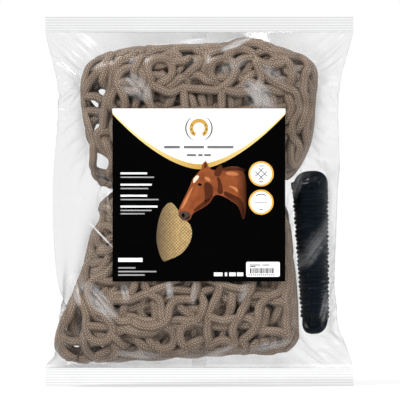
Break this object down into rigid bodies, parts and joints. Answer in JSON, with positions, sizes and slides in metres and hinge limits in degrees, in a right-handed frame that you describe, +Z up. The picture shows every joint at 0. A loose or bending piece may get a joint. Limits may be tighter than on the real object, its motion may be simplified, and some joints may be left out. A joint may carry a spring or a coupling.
{
  "type": "packed hay net",
  "caption": "Slow-feeder hay net folded in two lumps with its suspension rope in a clear sealed pillow bag with a square front label.",
  "frame": {"origin": "under the middle of the pack, at the lower edge of the bottom seal, halfway through its depth", "axes": "+X to the right seen from the front, -Y out of the labelled front, +Z up"},
  "size_m": [0.258, 0.064, 0.31],
  "materials": {
    "net_cord": "braided matt polyester cord, taupe with dark flecks",
    "rope_cord": "braided matt cord, blue-black",
    "clear_film": "clear glossy polypropylene film, creased",
    "label_paper": "satin printed paper label, black and white with gold bands",
    "sticker_paper": "matt white paper sticker with dark bars"
  },
  "bodies": {
    "lower_pack": {"net_lower_front_fold": "net_cord", "net_lower_core_fold": "net_cord", "net_lower_back_fold": "net_cord", "net_waist_cords_lower": "net_cord", "bag_front_film_lower": "clear_film", "bag_back_film_lower": "clear_film", "bag_lap_seam_lower": "clear_film", "label_lower": "label_paper", "barcode_sticker": "sticker_paper"},
    "upper_pack": {"net_upper_front_fold": "net_cord", "net_upper_core_fold": "net_cord", "net_upper_back_fold": "net_cord", "net_waist_cords_upper": "net_cord", "bag_front_film_upper": "clear_film", "bag_back_film_upper": "clear_film", "bag_lap_seam_upper": "clear_film", "label_upper": "label_paper"},
    "top_flap": {"bag_top_seal": "clear_film"},
    "bottom_flap": {"bag_bottom_seal": "clear_film"},
    "rope_hank": {"rope_core_strands": "rope_cord", "rope_turns": "rope_cord", "rope_top_loops": "rope_cord", "rope_bottom_loops": "rope_cord", "rope_cut_end": "rope_cord"}
  },
  "joints": [
    {"name": "waist_fold", "type": "hinge", "parent": "lower_pack", "child": "upper_pack", "pos_m": [0, 0, 0.166], "axis": [1, 0, 0], "range_deg": [-20, 20]},
    {"name": "top_flap_fold", "type": "hinge", "parent": "upper_pack", "child": "top_flap", "pos_m": [0, 0, 0.2972], "axis": [1, 0, 0], "range_deg": [-70, 70], "stiffness_Nm_per_rad": 0.002},
    {"name": "bottom_flap_fold", "type": "hinge", "parent": "lower_pack", "child": "bottom_flap", "pos_m": [0, 0, 0.0154], "axis": [1, 0, 0], "range_deg": [-70, 70], "stiffness_Nm_per_rad": 0.002},
    {"name": "hank_slide", "type": "slide", "parent": "lower_pack", "child": "rope_hank", "axis": [0, 0, 1], "range_m": [-0.014, 0.005]}
  ]
}
